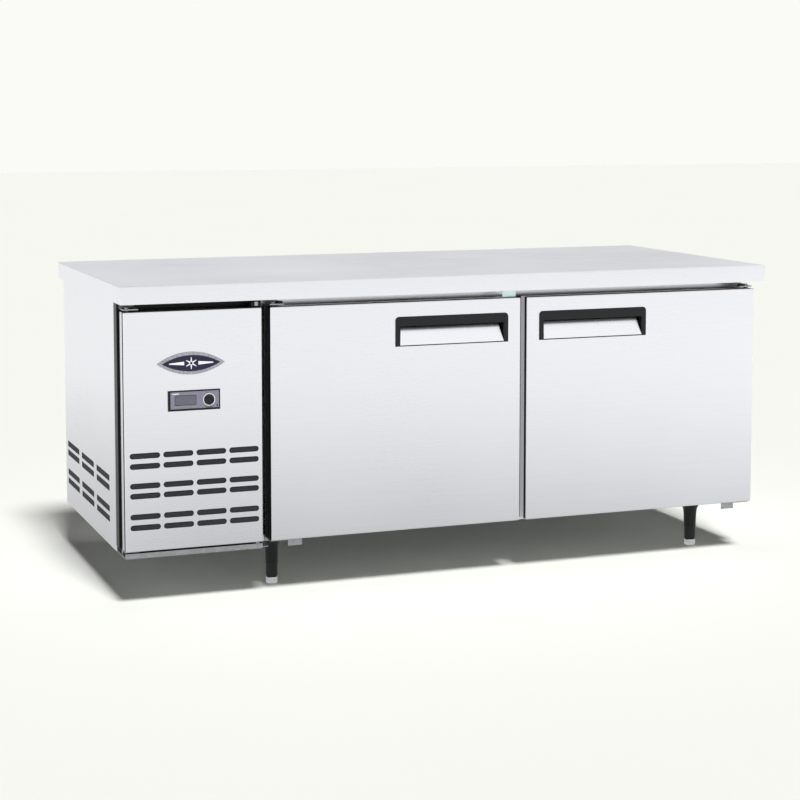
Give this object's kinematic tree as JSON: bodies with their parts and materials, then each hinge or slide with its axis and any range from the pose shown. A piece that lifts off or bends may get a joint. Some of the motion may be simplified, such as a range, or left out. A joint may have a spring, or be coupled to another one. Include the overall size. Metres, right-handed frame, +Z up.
{
  "type": "undercounter refrigerator",
  "caption": "Stainless undercounter refrigerator: hinged insulated doors with recessed pulls, wire shelves and a vented machine bay under a flat worktop.",
  "frame": {"origin": "centre of the worktop's footprint, on the floor", "axes": "+X along the length towards the right-hand end, +Y towards the back, +Z up; the doors face -Y"},
  "size_m": [1.8, 0.8, 0.8],
  "materials": {
    "brushed_stainless": "satin",
    "plywood": "matte",
    "galvanised_steel": "satin",
    "aluminium_sheet": "satin",
    "aluminium_fins": "satin",
    "pu_foam": "matte",
    "black_plastic": "satin",
    "controller_plastic": "gloss",
    "black_enamel": "satin",
    "chromed_steel": "polished",
    "coated_wire": "satin",
    "copper_tube": "satin",
    "seal_rubber": "matte",
    "badge_plate": "gloss"
  },
  "bodies": {
    "cabinet": {"worktop_shell": "brushed_stainless", "worktop_board": "plywood", "left_side_panel": "brushed_stainless", "right_side_panel": "brushed_stainless", "back_panel": "brushed_stainless", "cold_box_underpan": "galvanised_steel", "machine_base": "galvanised_steel", "machine_frame": "black_plastic", "face_frame": "brushed_stainless", "centre_mullion": "aluminium_sheet", "inner_liner": "aluminium_sheet", "body_foam": "pu_foam", "leg_front_left": "black_plastic", "leg_front_right": "black_plastic", "leg_rear_left": "black_plastic", "leg_rear_right": "black_plastic", "shelf_left": "coated_wire", "shelf_right": "coated_wire", "shelf_rail_left": "brushed_stainless", "shelf_rail_right": "brushed_stainless", "compressor": "black_enamel", "condenser_coil": "aluminium_fins", "condenser_shroud": "black_enamel", "condenser_fan_motor": "black_enamel", "evaporator_coil": "aluminium_fins", "evaporator_housing": "aluminium_sheet", "evaporator_fan_motor": "black_enamel", "suction_pipe": "copper_tube", "discharge_pipe": "copper_tube", "electrical_box": "black_plastic", "cable_inlet": "black_plastic", "left_door_hinge_top": "galvanised_steel", "left_door_hinge_bottom": "galvanised_steel", "right_door_hinge_top": "galvanised_steel", "right_door_hinge_bottom": "galvanised_steel", "cover_hinge_top": "galvanised_steel", "cover_hinge_bottom": "galvanised_steel"},
    "left_door": {"left_door_shell": "brushed_stainless", "left_door_foam": "pu_foam", "left_door_inner_panel": "black_plastic", "left_door_gasket": "seal_rubber", "left_door_handle_recess": "black_plastic", "left_door_handle_flap": "brushed_stainless"},
    "right_door": {"right_door_shell": "brushed_stainless", "right_door_foam": "pu_foam", "right_door_inner_panel": "black_plastic", "right_door_gasket": "seal_rubber", "right_door_handle_recess": "black_plastic", "right_door_handle_flap": "brushed_stainless"},
    "cover": {"machine_cover": "brushed_stainless", "cover_seal": "seal_rubber", "badge": "badge_plate", "controller": "controller_plastic"},
    "knob": {"thermostat_knob": "black_plastic"},
    "condenser_fan": {"condenser_fan_blades": "black_plastic"},
    "evaporator_fan": {"evaporator_fan_blades": "black_plastic"},
    "front_left_foot": {"foot_front_left": "chromed_steel"},
    "front_right_foot": {"foot_front_right": "chromed_steel"},
    "rear_left_foot": {"foot_rear_left": "chromed_steel"},
    "rear_right_foot": {"foot_rear_right": "chromed_steel"}
  },
  "joints": [
    {"name": "left_door_swing", "type": "hinge", "parent": "cabinet", "child": "left_door", "pos_m": [-0.502, -0.363, 0.4375], "axis": [0, 0, -1], "range_deg": [0, 100]},
    {"name": "right_door_swing", "type": "hinge", "parent": "cabinet", "child": "right_door", "pos_m": [0.86, -0.363, 0.4375], "axis": [0, 0, 1], "range_deg": [0, 100]},
    {"name": "cover_swing", "type": "hinge", "parent": "cabinet", "child": "cover", "pos_m": [-0.876, -0.363, 0.4375], "axis": [0, 0, -1], "range_deg": [0, 110]},
    {"name": "thermostat_knob_turn", "type": "hinge", "parent": "cover", "child": "knob", "pos_m": [-0.677, -0.388, 0.511], "axis": [0, 1, 0], "range_deg": [0, 270]},
    {"name": "condenser_fan_spin", "type": "hinge", "parent": "cabinet", "child": "condenser_fan", "pos_m": [-0.71, -0.207, 0.283], "axis": [0, 1, 0], "continuous": true},
    {"name": "evaporator_fan_spin", "type": "hinge", "parent": "cabinet", "child": "evaporator_fan", "pos_m": [-0.387, 0.035, 0.585], "axis": [1, 0, 0], "continuous": true},
    {"name": "front_left_foot_level", "type": "slide", "parent": "cabinet", "child": "front_left_foot", "axis": [0, 0, -1], "range_m": [0, 0.025]},
    {"name": "front_right_foot_level", "type": "slide", "parent": "cabinet", "child": "front_right_foot", "axis": [0, 0, -1], "range_m": [0, 0.025]},
    {"name": "rear_left_foot_level", "type": "slide", "parent": "cabinet", "child": "rear_left_foot", "axis": [0, 0, -1], "range_m": [0, 0.025]},
    {"name": "rear_right_foot_level", "type": "slide", "parent": "cabinet", "child": "rear_right_foot", "axis": [0, 0, -1], "range_m": [0, 0.025]}
  ]
}
